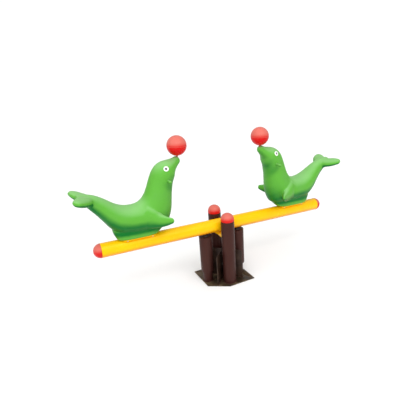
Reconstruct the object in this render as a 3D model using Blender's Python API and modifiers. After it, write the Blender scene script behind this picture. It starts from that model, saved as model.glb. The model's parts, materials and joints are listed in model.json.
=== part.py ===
"""Two-seat playground seesaw: a steel beam rocking on a cross tube between two posts, over two
sprung struts, with a moulded seal seat at each end. Metres, +Z up, origin on the floor under the
pivot, +X along the beam towards its lower end."""

import math

import bmesh
import bpy
from mathutils import Matrix, Vector

# Driving dimensions
GAP = 0.0003                      # clearance between pieces that touch
TUBE_RADIUS = 0.057               # 114 mm tube: beam, posts and strut sleeves
TUBE_WALL = 0.004
ROUND_STEPS = 24                  # sides of a tube
SMALL_STEPS = 16                  # sides of a small turned piece
DRILL_STEPS = 10                  # sides of a bolt and of its hole

PLATE_HALF_LENGTH = 0.208
PLATE_HALF_WIDTH = 0.195
PLATE_THICKNESS = 0.008
PLATE_CORNER_CUT = (0.168, 0.107)  # along X and along Y, on two opposite corners
ANCHOR_HOLE_RADIUS = 0.007
ANCHOR_HOLES = ((-0.185, 0.170), (0.185, -0.170), (-0.150, 0.095), (0.150, -0.095))

POST_Y = 0.1185
POST_HEIGHT = 0.6600              # floor to the crown of the cap
CAP_COLLAR = 0.012                # straight part of a post cap under its dome
CAP_WALL = 0.004
CAP_PLUG_LENGTH = 0.035

STRUT_X = 0.1585
STRUT_POST_RADIUS = 0.043
STRUT_POST_WALL = 0.0035
STRUT_POST_TOP = 0.300
SLEEVE_LENGTH = 0.336
SLEEVE_TOP_WALL = 0.006
BUFFER_RISE = 0.018               # keeps the sleeve's rim off the tilted beam
BUFFER_CURVE = 0.030              # radius of the rubber dome
BUFFER_GAP = 0.0008               # rest gap under the beam, used up half way through the rock
BUFFER_STEM_RADIUS = 0.008
GUIDE_LENGTH = 0.030
GUIDE_LIFT = 0.002                # above the sleeve's open end
SPRING_SEAT_THICKNESS = 0.006
SPRING_RADIUS = 0.034
SPRING_WIRE = 0.0045
SPRING_TURNS = 5

WEB_THICKNESS = 0.006
WEB_HEIGHT = 0.270
WEB_REACH = 0.178                 # from the middle of the plate along a diagonal
WEB_START = 0.004

REST_TILT = math.radians(2.4)     # +X end down
PIVOT_HEIGHT = 0.4276
PIVOT_TUBE_RADIUS = 0.030
PIVOT_TUBE_WALL = 0.005
PIVOT_TUBE_LENGTH = 0.108
BEAM_RISE = TUBE_RADIUS + PIVOT_TUBE_RADIUS + GAP   # beam axis above the pivot
AXLE_RADIUS = 0.0125
AXLE_LENGTH = 0.176
RUNNING_GAP = 0.0002              # axle to bush, at the corners of their facets
BUSH_LENGTH = 0.035
BUSH_FLANGE = 0.0025
BUSH_FLANGE_RADIUS = 0.028
SPACER_RADIUS = 0.022
SPACER_THICKNESS = 0.0040

BEAM_HALF_LENGTH = 1.040          # to the seam of each end cap
GUSSET_START = 0.004              # from the middle of the cross tube
GUSSET_FOOT = 0.018
GUSSET_LENGTH = 0.075
GUSSET_DROP = 0.036
GUSSET_THICKNESS = 0.008

SADDLE_CENTRE = 0.740
SADDLE_LENGTH = 0.252
SADDLE_WIDTH = 0.122
SADDLE_THICKNESS = 0.006
BOLT_RADIUS = 0.005
BOLT_HEAD_RADIUS = 0.0095
BOLT_HEAD_HEIGHT = 0.0065
BOLT_LENGTH = 0.034
BOLT_ROOM = 0.027                 # depth of a bolt's hole above the foot of the seat
OVERLAP = 0.002                   # between solids that are joined
BOLT_SPACING = (0.200, 0.092)

SEAT_WALL = 0.006
FOOT_BOTTOM = TUBE_RADIUS + SADDLE_THICKNESS + 3 * GAP
FOOT_TOP = 0.150
FOOT_LENGTH = 0.380
FOOT_WIDTH = 0.150
FOOT_CENTRE = 0.738
FOOT_CORNER = 0.064
VENT_RADIUS = 0.008
BOSS_RADIUS = 0.014
BOSS_HEIGHT = 0.036

# Seal seat sections from nose to tail: back edge (out, up), belly edge (out, up), half width
SECTIONS = (
    (0.394, 0.648, 0.374, 0.612, 0.018),
    (0.423, 0.643, 0.388, 0.574, 0.040),
    (0.466, 0.634, 0.404, 0.535, 0.069),
    (0.514, 0.621, 0.416, 0.495, 0.086),
    (0.556, 0.599, 0.434, 0.455, 0.092),
    (0.591, 0.560, 0.441, 0.414, 0.095),
    (0.618, 0.505, 0.447, 0.366, 0.093),
    (0.640, 0.446, 0.452, 0.307, 0.100),
    (0.665, 0.389, 0.459, 0.246, 0.108),
    (0.698, 0.346, 0.478, 0.180, 0.115),
    (0.743, 0.324, 0.522, 0.117, 0.120),
    (0.799, 0.320, 0.639, 0.103, 0.121),
    (0.848, 0.330, 0.780, 0.103, 0.117),
    (0.897, 0.353, 0.877, 0.117, 0.107),
    (0.942, 0.384, 0.944, 0.170, 0.091),
    (0.987, 0.414, 0.993, 0.238, 0.074),
    (1.034, 0.439, 1.039, 0.299, 0.059),
    (1.077, 0.453, 1.082, 0.348, 0.053),
    (1.116, 0.459, 1.119, 0.390, 0.056),
    (1.143, 0.459, 1.144, 0.416, 0.048),
)
SECTION_POINTS = 18
SECTION_STEPS = 1                 # lofted rings from one section to the next
HOLLOW_SPAN = (2, 17)             # the sections that the hollow runs between

FLIPPER_ROOT = Vector((0.624, 0.085, 0.215))
FLIPPER_TIP = Vector((0.520, 0.204, 0.192))
FLIPPER_HEIGHT = 0.046
FLIPPER_THICKNESS = 0.017
LOBE_ROOT = Vector((1.090, 0.014, 0.420))
LOBE_TIP = Vector((1.188, 0.152, 0.455))
LOBE_WIDTH = 0.052
LOBE_THICKNESS = 0.026

GRIP_PLACE = (0.499, 0.488)
GRIP_RADIUS = 0.011
GRIP_HALF_LENGTH = 0.148
EYE_PLACE = Vector((0.504, 0.078, 0.579))
EYE_FACING = Vector((0.30, 0.87, 0.38))
EYE_RADIUS = 0.0225
EYE_DEPTH = 0.010
EYE_POCKET = 0.002                # depth of the pupil's pocket
EYE_FRONT = ((0.015, 0.0022), (0.0225, -0.0015))
PUPIL_RADIUS = 0.009
PUPIL_FRONT = ((0.0, 0.0045), (0.005, 0.0040))
PUPIL_EDGE = 0.003
BALL_PLACE = (0.380, 0.729)
BALL_RADIUS = 0.078
BALL_WALL = 0.004
BALL_STEPS = 24
PIN_RADIUS = 0.006
PIN_DEPTH_IN_NOSE = 0.045
PIN_DEPTH_IN_BALL = 0.035
GRIP_ROUNDING = 0.005


def clear_scene():
    for obj in list(bpy.data.objects):
        bpy.data.objects.remove(obj, do_unlink=True)


def collection(name):
    made = bpy.data.collections.new(name)
    bpy.context.scene.collection.children.link(made)
    return made


def finish(name, colour, roughness, metallic=0.0):
    made = bpy.data.materials.new(name)
    made.use_nodes = True
    shader = made.node_tree.nodes["Principled BSDF"]
    shader.inputs["Base Color"].default_value = (*colour, 1.0)
    shader.inputs["Roughness"].default_value = roughness
    shader.inputs["Metallic"].default_value = metallic
    return made


clear_scene()
PARTS = collection("seesaw")
CUTTERS = collection("seesaw_cutters")

BROWN = finish("brown_paint", (0.085, 0.030, 0.024), 0.45)
BRONZE = finish("bronze_paint", (0.060, 0.038, 0.022), 0.50)
YELLOW = finish("yellow_paint", (1.0, 0.60, 0.0), 0.30)
RED = finish("red_plastic", (0.78, 0.03, 0.02), 0.30)
GREEN = finish("green_plastic", (0.15, 0.50, 0.07), 0.40)
WHITE = finish("eye_white", (0.90, 0.90, 0.88), 0.30)
GREY = finish("eye_grey", (0.12, 0.13, 0.14), 0.30)
STEEL = finish("zinc_steel", (0.60, 0.60, 0.62), 0.35, 1.0)
NYLON = finish("bush_nylon", (0.80, 0.78, 0.70), 0.50)
RUBBER = finish("black_rubber", (0.02, 0.02, 0.02), 0.80)


def empty(name, place=(0, 0, 0), turn=(0, 0, 0), parent=None):
    made = bpy.data.objects.new(name, None)
    PARTS.objects.link(made)
    made.location = place
    made.rotation_euler = turn
    made.parent = parent
    return made


def put(name, mesh, material, parent=None, place=(0, 0, 0), turn=(0, 0, 0)):
    """Link a mesh as a named part, or as a cutter when it has no material."""
    made = bpy.data.objects.new(name, mesh)
    made.location = place
    made.rotation_euler = turn
    made.parent = parent
    if material is None:
        CUTTERS.objects.link(made)
        made.hide_render = True
        made.display_type = "WIRE"
    else:
        PARTS.objects.link(made)
        mesh.materials.append(material)
    return made


def mesh_from(bm, name, smooth_angle=30):
    made = bpy.data.meshes.new(name)
    bm.to_mesh(made)
    bm.free()
    made.shade_smooth()
    made.set_sharp_from_angle(angle=math.radians(smooth_angle))
    return made


def rod_mesh(name, radius, length, steps=ROUND_STEPS):
    """A round bar, centred, along Z."""
    bm = bmesh.new()
    bmesh.ops.create_cone(bm, cap_ends=True, segments=steps, radius1=radius, radius2=radius,
                          depth=length)
    return mesh_from(bm, name)


def block_mesh(name, size):
    bm = bmesh.new()
    bmesh.ops.create_cube(bm, size=1.0)
    bmesh.ops.scale(bm, vec=size, verts=bm.verts)
    return mesh_from(bm, name)


def outline_mesh(name, points, thickness):
    """A flat outline in XY, thickened upwards from Z = 0."""
    bm = bmesh.new()
    face = bm.faces.new([bm.verts.new((x, y, 0.0)) for x, y in points])
    pushed = bmesh.ops.extrude_face_region(bm, geom=[face])
    raised = [item for item in pushed["geom"] if isinstance(item, bmesh.types.BMVert)]
    bmesh.ops.translate(bm, vec=(0, 0, thickness), verts=raised)
    bmesh.ops.recalc_face_normals(bm, faces=bm.faces)
    return mesh_from(bm, name)


def ellipsoid_mesh(name, root, tip, height, thickness, up=Vector((0, 0, 1))):
    """A flattened ball from root to tip, with its height along up."""
    bm = bmesh.new()
    bmesh.ops.create_uvsphere(bm, u_segments=12, v_segments=8, radius=1.0)
    along = tip - root
    side = along.cross(up).normalized()
    rise = side.cross(along).normalized()
    frame = Matrix((along / 2, rise * height, side * thickness)).transposed().to_4x4()
    frame.translation = (root + tip) / 2
    bmesh.ops.transform(bm, matrix=frame, verts=bm.verts)
    bmesh.ops.recalc_face_normals(bm, faces=bm.faces)
    return mesh_from(bm, name)


def turned(name, profile, material, parent=None, place=(0, 0, 0), turn=(0, 0, 0),
           steps=ROUND_STEPS):
    """A closed profile of (radius, height) points turned about Z with a Screw modifier. It runs
    down the outer side first."""
    on_axis = [abs(radius) < 1e-9 for radius, _ in profile]
    mesh = bpy.data.meshes.new(name)
    points = [(radius, 0.0, height) for radius, height in profile]
    count = len(points)
    edges = [(i, (i + 1) % count) for i in range(count)
             if not (on_axis[i] and on_axis[(i + 1) % count])]
    mesh.from_pydata(points, edges, [])
    made = put(name, mesh, material, parent, place, turn)
    screw = made.modifiers.new("turn", "SCREW")
    screw.axis = "Z"
    screw.steps = steps
    screw.render_steps = steps
    screw.use_merge_vertices = True
    screw.merge_threshold = 1e-5
    screw.use_smooth_shade = True
    return made


def tube_profile(outer, wall, bottom, top):
    inner = outer - wall
    return [(outer, top), (outer, bottom), (inner, bottom), (inner, top)]


def arc(radius, centre_height, start, end, steps):
    """Profile points on a circle about the axis, start and end in degrees from the horizontal."""
    points = []
    for i in range(steps + 1):
        angle = math.radians(start + (end - start) * i / steps)
        across = radius * math.cos(angle)
        points.append((0.0 if abs(across) < 1e-9 else across,
                       centre_height + radius * math.sin(angle)))
    return points


def boolean(target, tool, operation, solver="EXACT"):
    made = target.modifiers.new(tool.name, "BOOLEAN")
    made.operation = operation
    made.object = tool
    made.solver = solver


def cut(target, *tools):
    for tool in tools:
        boolean(target, tool, "DIFFERENCE")


def join(target, *tools):
    for tool in tools:
        boolean(target, tool, "UNION")


# Base: plate, diagonal webs, posts

def make_base_plate():
    length, width = PLATE_HALF_LENGTH, PLATE_HALF_WIDTH
    cut_x, cut_y = PLATE_CORNER_CUT
    points = [(-length, -width + cut_y), (-length + cut_x, -width), (length, -width),
              (length, width - cut_y), (length - cut_x, width), (-length, width)]
    plate = put("base_plate", outline_mesh("base_plate", points, PLATE_THICKNESS), BRONZE)
    for number, (x, y) in enumerate(ANCHOR_HOLES, start=1):
        drill = rod_mesh(f"anchor_drill_{number}", ANCHOR_HOLE_RADIUS, 4 * PLATE_THICKNESS, DRILL_STEPS)
        cut(plate, put(drill.name, drill, None, place=(x, y, PLATE_THICKNESS / 2)))


def make_webs():
    """Four upright plates that stand on the diagonals between the posts."""
    for number, angle in enumerate((45, 135, 225, 315), start=1):
        name = f"web_plate_{number}"
        length = WEB_REACH - WEB_START
        mesh = block_mesh(name, (length, WEB_THICKNESS, WEB_HEIGHT))
        middle = WEB_START + length / 2
        turn = math.radians(angle)
        place = (middle * math.cos(turn), middle * math.sin(turn),
                 PLATE_THICKNESS + GAP + WEB_HEIGHT / 2)
        put(name, mesh, BRONZE, place=place, turn=(0, 0, turn))


def make_posts():
    collar_bottom = POST_HEIGHT - TUBE_RADIUS - CAP_COLLAR
    foot = PLATE_THICKNESS + GAP
    for side, name in ((-1, "front"), (1, "rear")):
        profile = tube_profile(TUBE_RADIUS, TUBE_WALL, foot, collar_bottom - GAP)
        post = turned(f"post_{name}", profile, BROWN, place=(0, side * POST_Y, 0))
        bore = rod_mesh(f"axle_bore_{name}", AXLE_RADIUS + GAP, TUBE_RADIUS, SMALL_STEPS)
        cut(post, put(bore.name, bore, None, place=(0, side * (POST_Y - TUBE_RADIUS), PIVOT_HEIGHT),
                      turn=(math.pi / 2, 0, 0)))
        make_cap(f"post_cap_{name}", CAP_COLLAR, place=(0, side * POST_Y, collar_bottom))


def make_cap(name, collar, parent=None, place=(0, 0, 0), turn=(0, 0, 0)):
    """A domed plastic cap with a plug that goes into the tube; its seam is at Z = 0."""
    inner = TUBE_RADIUS - CAP_WALL
    plug = TUBE_RADIUS - TUBE_WALL - GAP
    outside = arc(TUBE_RADIUS, collar, 90, 0, 6)
    if collar > 0:
        outside.append((TUBE_RADIUS, 0.0))
    throat = plug - CAP_WALL
    inside = arc(inner, collar, math.degrees(math.asin(0.5 * CAP_WALL / inner)), 90, 3)
    profile = outside + [(plug, 0.0), (plug, -CAP_PLUG_LENGTH), (throat, -CAP_PLUG_LENGTH),
                         (throat, collar)] + inside[1:]
    return turned(name, profile, RED, parent, place, turn)


# Sprung struts: a fixed inner post, and a sleeve that slides on it under the beam

def beam_underside(x):
    rise = (BEAM_RISE - TUBE_RADIUS) / math.cos(REST_TILT)
    return PIVOT_HEIGHT + rise - x * math.tan(REST_TILT)


def make_strut(side, name):
    x = side * STRUT_X
    foot = empty(f"{name}_strut", (x, 0, 0))
    lean = BUFFER_CURVE * (1 / math.cos(REST_TILT) - 1)
    sleeve_top = beam_underside(x) - lean - BUFFER_GAP - BUFFER_RISE - GAP
    ceiling = sleeve_top - SLEEVE_TOP_WALL
    turned(f"strut_post_{name}",
           tube_profile(STRUT_POST_RADIUS, STRUT_POST_WALL, PLATE_THICKNESS + GAP, STRUT_POST_TOP),
           BROWN, foot)
    turned(f"spring_seat_{name}",
           tube_profile(STRUT_POST_RADIUS, STRUT_POST_RADIUS - BOLT_RADIUS, 0.0, SPRING_SEAT_THICKNESS),
           STEEL, foot, (0, 0, STRUT_POST_TOP + GAP), steps=SMALL_STEPS)
    inner = TUBE_RADIUS - TUBE_WALL
    stem_hole = BUFFER_STEM_RADIUS + GAP
    bottom = sleeve_top - SLEEVE_LENGTH
    turned(f"strut_sleeve_{name}",
           [(TUBE_RADIUS, sleeve_top), (TUBE_RADIUS, bottom), (inner, bottom), (inner, ceiling),
            (stem_hole, ceiling), (stem_hole, sleeve_top)],
           BROWN, foot)
    turned(f"guide_bush_{name}",
           tube_profile(inner - GAP, inner - STRUT_POST_RADIUS - 2 * GAP,
                        bottom + GUIDE_LIFT, bottom + GUIDE_LIFT + GUIDE_LENGTH),
           NYLON, foot)
    make_buffer(name, foot, sleeve_top + GAP)
    make_spring(name, foot, STRUT_POST_TOP + SPRING_SEAT_THICKNESS + 2 * GAP, ceiling - GAP)


def make_buffer(name, foot, bottom):
    """A rubber dome on the sleeve, with a stem through its top wall."""
    centre = bottom + BUFFER_RISE - BUFFER_CURVE
    edge_angle = math.degrees(math.asin((bottom - centre) / BUFFER_CURVE))
    dome = arc(BUFFER_CURVE, centre, 90, edge_angle, 5)
    stem_bottom = bottom - SLEEVE_TOP_WALL
    stem = [(BUFFER_STEM_RADIUS, bottom), (BUFFER_STEM_RADIUS, stem_bottom), (0.0, stem_bottom)]
    turned(f"buffer_{name}", dome + stem, RUBBER, foot, steps=SMALL_STEPS)


def make_spring(name, foot, bottom, top):
    curve = bpy.data.curves.new(f"strut_spring_{name}", "CURVE")
    curve.dimensions = "3D"
    curve.bevel_depth = SPRING_WIRE
    curve.bevel_resolution = 2
    curve.resolution_u = 1
    curve.render_resolution_u = 0
    curve.use_fill_caps = True
    per_turn = 10
    count = SPRING_TURNS * per_turn + 1
    spline = curve.splines.new("POLY")
    spline.points.add(count - 1)
    low, high = bottom + SPRING_WIRE, top - SPRING_WIRE
    for i in range(count):
        angle = 2 * math.pi * i / per_turn
        height = low + (high - low) * i / (count - 1)
        spline.points[i].co = (SPRING_RADIUS * math.cos(angle), SPRING_RADIUS * math.sin(angle),
                               height, 1.0)
    made = bpy.data.objects.new(curve.name, curve)
    curve.materials.append(STEEL)
    made.parent = foot
    PARTS.objects.link(made)


# Pivot: cross tube under the beam, bushes, spacers, axle

def make_pivot(pivot):
    lie = (math.pi / 2, 0, 0)
    half = PIVOT_TUBE_LENGTH / 2
    turned("pivot_tube", tube_profile(PIVOT_TUBE_RADIUS, PIVOT_TUBE_WALL, -half, half),
           YELLOW, pivot, turn=lie)
    bore = PIVOT_TUBE_RADIUS - PIVOT_TUBE_WALL - GAP
    running = AXLE_RADIUS + RUNNING_GAP
    for side, name in ((-1, "front"), (1, "rear")):
        turn = (side * -math.pi / 2, 0, 0)
        face = half + GAP
        turned(f"pivot_bush_{name}",
               [(BUSH_FLANGE_RADIUS, face + BUSH_FLANGE), (BUSH_FLANGE_RADIUS, face),
                (bore, face), (bore, face - BUSH_LENGTH), (running, face - BUSH_LENGTH),
                (running, face + BUSH_FLANGE)],
               NYLON, pivot, turn=turn)
        washer = half + BUSH_FLANGE + 2 * GAP
        turned(f"pivot_spacer_{name}",
               tube_profile(SPACER_RADIUS, SPACER_RADIUS - AXLE_RADIUS - GAP, washer,
                            washer + SPACER_THICKNESS),
               STEEL, None, (0, 0, PIVOT_HEIGHT), turn, SMALL_STEPS)
    end = AXLE_LENGTH / 2
    turned("pivot_axle", [(0.0, end), (AXLE_RADIUS, end), (AXLE_RADIUS, -end), (0.0, -end)],
           STEEL, place=(0, 0, PIVOT_HEIGHT), turn=lie)


# Beam: tube, end caps, gussets, saddle plates

def make_beam(beam):
    along = (0, math.pi / 2, 0)
    turned("beam_tube", tube_profile(TUBE_RADIUS, TUBE_WALL, -BEAM_HALF_LENGTH + GAP,
                                     BEAM_HALF_LENGTH - GAP), YELLOW, beam, turn=along)
    for side, name in ((-1, "left"), (1, "right")):
        make_cap(f"beam_cap_{name}", 0.0, beam, (side * BEAM_HALF_LENGTH, 0, 0),
                 (0, side * math.pi / 2, 0))
        make_gusset(side, name, beam)


def make_gusset(side, name, beam):
    """A triangular plate in the corner between the beam and the cross tube."""
    near = GUSSET_START
    top = -TUBE_RADIUS - GAP
    points = [(side * near, 0.0), (side * (near + GUSSET_LENGTH), 0.0),
              (side * (near + GUSSET_FOOT), -GUSSET_DROP), (side * near, -GUSSET_DROP)]
    mesh = outline_mesh(f"gusset_{name}", points, GUSSET_THICKNESS)
    made = put(f"gusset_{name}", mesh, YELLOW, beam, (0, GUSSET_THICKNESS / 2, top),
               (math.pi / 2, 0, 0))
    room = rod_mesh(f"gusset_room_{name}", PIVOT_TUBE_RADIUS + GAP, PIVOT_TUBE_LENGTH)
    cut(made, put(room.name, room, None, beam, (0, 0, -BEAM_RISE), (math.pi / 2, 0, 0)))


def bolt_places():
    half_x, half_y = BOLT_SPACING[0] / 2, BOLT_SPACING[1] / 2
    return [(SADDLE_CENTRE + sx * half_x, sy * half_y) for sx in (-1, 1) for sy in (-1, 1)]


def make_saddle(seat, name):
    bottom = TUBE_RADIUS + GAP
    middle = bottom + SADDLE_THICKNESS / 2
    mesh = block_mesh(f"saddle_plate_{name}", (SADDLE_LENGTH, SADDLE_WIDTH, SADDLE_THICKNESS))
    plate = put(mesh.name, mesh, YELLOW, seat, (SADDLE_CENTRE, 0, middle))
    for number, (x, y) in enumerate(bolt_places(), start=1):
        drill = rod_mesh(f"saddle_drill_{name}_{number}", BOLT_RADIUS + GAP, BOLT_LENGTH,
                         DRILL_STEPS)
        cut(plate, put(drill.name, drill, None, seat, (x, y, middle)))
        make_bolt(f"seat_bolt_{name}_{number}", seat, (x, y, bottom - GAP))


def make_bolt(name, seat, place):
    bm = bmesh.new()
    head = bmesh.ops.create_cone(bm, cap_ends=True, segments=6, radius1=BOLT_HEAD_RADIUS,
                                 radius2=BOLT_HEAD_RADIUS, depth=BOLT_HEAD_HEIGHT)
    bmesh.ops.translate(bm, vec=(0, 0, -BOLT_HEAD_HEIGHT / 2), verts=head["verts"])
    bolt = put(name, mesh_from(bm, name), STEEL, seat, place)
    shank = rod_mesh(f"{name}_shank", BOLT_RADIUS, BOLT_LENGTH, DRILL_STEPS)
    join(bolt, put(shank.name, shank, None, seat,
                   (place[0], place[1], place[2] + BOLT_LENGTH / 2 - OVERLAP)))


# Seal seat: the seat frame has +X away from the pivot, and Z = 0 on the beam axis

def smooth_sections(first, last, inset):
    """Catmull-Rom rings between the listed sections, drawn in by inset."""
    rows = []
    for index in range(first, last):
        quad = [SECTIONS[min(max(index + k, 0), len(SECTIONS) - 1)] for k in (-1, 0, 1, 2)]
        for step in range(SECTION_STEPS):
            t = step / SECTION_STEPS
            rows.append(tuple(
                0.5 * (2 * b + (c - a) * t + (2 * a - 5 * b + 4 * c - d) * t * t
                       + (3 * b - a - 3 * c + d) * t ** 3)
                for a, b, c, d in zip(*quad)))
    rows.append(SECTIONS[last])
    rings = []
    for back_x, back_z, belly_x, belly_z, half_width in rows:
        back, belly = Vector((back_x, 0, back_z)), Vector((belly_x, 0, belly_z))
        reach = (back - belly) / 2
        up = reach.normalized() * (reach.length - inset)
        rings.append(((back + belly) / 2, up, half_width - inset))
    return rings


def loft_mesh(name, first, last, inset=0.0):
    bm = bmesh.new()
    rings = smooth_sections(first, last, inset)
    loops = []
    for middle, up, half_width in rings:
        loop = []
        for i in range(SECTION_POINTS):
            angle = 2 * math.pi * (i + 0.5) / SECTION_POINTS
            across = half_width * math.sin(angle)
            loop.append(bm.verts.new(middle + up * math.cos(angle) + Vector((0, across, 0))))
        loops.append(loop)
    for ring, following in zip(loops, loops[1:]):
        for i in range(SECTION_POINTS):
            j = (i + 1) % SECTION_POINTS
            bm.faces.new((ring[i], ring[j], following[j], following[i]))
    for loop, neighbour, ring in ((loops[0], loops[1], rings[0]), (loops[-1], loops[-2], rings[-1])):
        nearby = sum((vert.co for vert in neighbour), Vector()) / SECTION_POINTS
        outward = (ring[0] - nearby).normalized()
        tip = bm.verts.new(ring[0] + outward * ring[1].length * 0.6)
        for i in range(SECTION_POINTS):
            bm.faces.new((loop[i], loop[(i + 1) % SECTION_POINTS], tip))
    bmesh.ops.recalc_face_normals(bm, faces=bm.faces)
    return mesh_from(bm, name, 50)


def rounded_outline(length, width, radius, steps=6):
    points = []
    for sx, sy, start in ((1, 1, 0), (-1, 1, 90), (-1, -1, 180), (1, -1, 270)):
        for i in range(steps + 1):
            angle = math.radians(start + 90 * i / steps)
            points.append((sx * (length / 2 - radius) + radius * math.cos(angle),
                           sy * (width / 2 - radius) + radius * math.sin(angle)))
    return points


def foot_mesh(name, inset, top):
    points = rounded_outline(FOOT_LENGTH - 2 * inset, FOOT_WIDTH - 2 * inset,
                             FOOT_CORNER - inset)
    return outline_mesh(name, points, top)


def mirrored(point):
    return Vector((point.x, -point.y, point.z))


def make_hollow(seat, name):
    """The space inside a seat, which leaves a boss standing round each bolt."""
    inside = loft_mesh(f"hollow_form_{name}", *HOLLOW_SPAN, inset=SEAT_WALL)
    hollow = put(inside.name, inside, None, seat)
    well = foot_mesh(f"foot_hollow_{name}", SEAT_WALL, FOOT_TOP - FOOT_BOTTOM)
    join(hollow, put(well.name, well, None, seat, (FOOT_CENTRE, 0, FOOT_BOTTOM + SEAT_WALL)))
    for number, (x, y) in enumerate(bolt_places(), start=1):
        boss = rod_mesh(f"boss_form_{name}_{number}", BOSS_RADIUS, BOSS_HEIGHT, DRILL_STEPS)
        cut(hollow, put(boss.name, boss, None, seat, (x, y, FOOT_BOTTOM + BOSS_HEIGHT / 2)))
    return hollow


def make_seal(seat, name):
    body = put(f"seal_body_{name}", loft_mesh(f"seal_body_{name}", 0, len(SECTIONS) - 1),
               GREEN, seat)
    foot = foot_mesh(f"foot_form_{name}", 0.0, FOOT_TOP - FOOT_BOTTOM)
    join(body, put(foot.name, foot, None, seat, (FOOT_CENTRE, 0, FOOT_BOTTOM)))
    boolean(body, make_hollow(seat, name), "DIFFERENCE", "MANIFOLD")
    for number, (x, y) in enumerate(bolt_places(), start=1):
        drill = rod_mesh(f"boss_drill_{name}_{number}", BOLT_RADIUS + GAP, BOLT_LENGTH, DRILL_STEPS)
        cut(body, put(drill.name, drill, None, seat,
                      (x, y, FOOT_BOTTOM + BOLT_ROOM - BOLT_LENGTH / 2)))
    for side_name, turn_side in (("far", lambda p: p), ("near", mirrored)):
        flipper = ellipsoid_mesh(f"flipper_form_{name}_{side_name}", turn_side(FLIPPER_ROOT),
                                 turn_side(FLIPPER_TIP), FLIPPER_HEIGHT, FLIPPER_THICKNESS)
        flat = Vector((0, 1, 0)).cross(LOBE_TIP - LOBE_ROOT).normalized()
        lobe = ellipsoid_mesh(f"tail_lobe_form_{name}_{side_name}", turn_side(LOBE_ROOT),
                              turn_side(LOBE_TIP), LOBE_THICKNESS, LOBE_WIDTH, flat)
        join(body, put(flipper.name, flipper, None, seat), put(lobe.name, lobe, None, seat))
    vent = rod_mesh(f"vent_drill_{name}", VENT_RADIUS, 4 * SEAT_WALL, DRILL_STEPS)
    cut(body, put(vent.name, vent, None, seat, (FOOT_CENTRE, 0, FOOT_BOTTOM)))
    make_grip(seat, name, body)
    make_ball(seat, name, body)
    for side, side_name in ((-1, "near"), (1, "far")):
        make_eye(seat, name, side, side_name, body)


def make_grip(seat, name, body):
    """A bar through the neck, with a rounded stub on each side for a hand."""
    lie = (math.pi / 2, 0, 0)
    place = (GRIP_PLACE[0], 0, GRIP_PLACE[1])
    half = GRIP_HALF_LENGTH
    ends = arc(GRIP_ROUNDING, half - GRIP_ROUNDING, 90, 0, 3)
    core = GRIP_RADIUS - GRIP_ROUNDING
    upper = [(0.0, half)] + [(core + radius, height) for radius, height in ends]
    lower = [(radius, -height) for radius, height in reversed(upper)]
    turned(f"grip_bar_{name}", upper + lower, GREEN, seat, place, lie, SMALL_STEPS)
    bore = rod_mesh(f"grip_bore_{name}", GRIP_RADIUS + GAP, 3 * half, SMALL_STEPS)
    cut(body, put(bore.name, bore, None, seat, place, lie))


def make_ball(seat, name, body):
    x, z = BALL_PLACE
    bottom = z - BALL_RADIUS
    mouth = PIN_RADIUS + GAP
    mouth_angle = math.degrees(math.acos(mouth / BALL_RADIUS))
    inner = BALL_RADIUS - BALL_WALL
    inner_angle = math.degrees(math.acos(mouth / inner))
    profile = (arc(BALL_RADIUS, 0, 90, -mouth_angle, 12) + arc(inner, 0, -inner_angle, 90, 6))
    turned(f"ball_{name}", profile, RED, seat, (x, 0, z), steps=BALL_STEPS)
    low, high = bottom - PIN_DEPTH_IN_NOSE, bottom + PIN_DEPTH_IN_BALL
    pin = rod_mesh(f"ball_pin_{name}", PIN_RADIUS, high - low, SMALL_STEPS)
    put(pin.name, pin, RED, seat, (x, 0, (low + high) / 2))
    bore = rod_mesh(f"pin_bore_{name}", mouth, high - low, SMALL_STEPS)
    cut(body, put(bore.name, bore, None, seat, (x, 0, (low + high) / 2 - GAP)))


def make_eye(seat, name, side, side_name, body):
    facing = Vector((EYE_FACING.x, side * EYE_FACING.y, EYE_FACING.z)).normalized()
    place = Vector((EYE_PLACE.x, side * EYE_PLACE.y, EYE_PLACE.z))
    turn = Vector((0, 0, 1)).rotation_difference(facing).to_euler()
    pupil_edge = PUPIL_RADIUS + GAP
    turned(f"eye_white_{name}_{side_name}",
           [(pupil_edge, PUPIL_EDGE), *EYE_FRONT, (EYE_RADIUS, -EYE_DEPTH),
            (0.0, -EYE_DEPTH), (0.0, -EYE_POCKET), (pupil_edge, -EYE_POCKET)],
           WHITE, seat, place, turn, SMALL_STEPS)
    turned(f"pupil_{name}_{side_name}",
           [*PUPIL_FRONT, (PUPIL_RADIUS, PUPIL_EDGE), (PUPIL_RADIUS, GAP - EYE_POCKET),
            (0.0, GAP - EYE_POCKET)],
           GREY, seat, place, turn, SMALL_STEPS)
    drill = rod_mesh(f"eye_drill_{name}_{side_name}", EYE_RADIUS + GAP, 2 * EYE_DEPTH, SMALL_STEPS)
    centre = place + facing * -GAP
    cut(body, put(drill.name, drill, None, seat, centre, turn))


make_base_plate()
make_webs()
make_posts()
make_strut(-1, "left")
make_strut(1, "right")

PIVOT = empty("beam_pivot", (0, 0, PIVOT_HEIGHT), (0, REST_TILT, 0))
BEAM = empty("beam_axis", (0, 0, BEAM_RISE), parent=PIVOT)
make_pivot(PIVOT)
make_beam(BEAM)
for seat_name, heading in (("left", math.pi), ("right", 0.0)):
    seat_frame = empty(f"{seat_name}_seat", turn=(0, 0, heading), parent=BEAM)
    make_saddle(seat_frame, seat_name)
    make_seal(seat_frame, seat_name)
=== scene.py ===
# %% [markdown]
# # A playground seesaw with two seal seats
#
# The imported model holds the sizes, the joints and the plain solids. This lesson puts the finish on
# it: fine meshes where the solids are faceted, and paint, plastic, rubber and steel that look used.
# Every length is in metres, +Z is up, and the origin is on the ground under the pivot.

# %% Load the frame
import json
import math

import bmesh
import bpy
import numpy as np
from mathutils import Matrix, Vector


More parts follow.
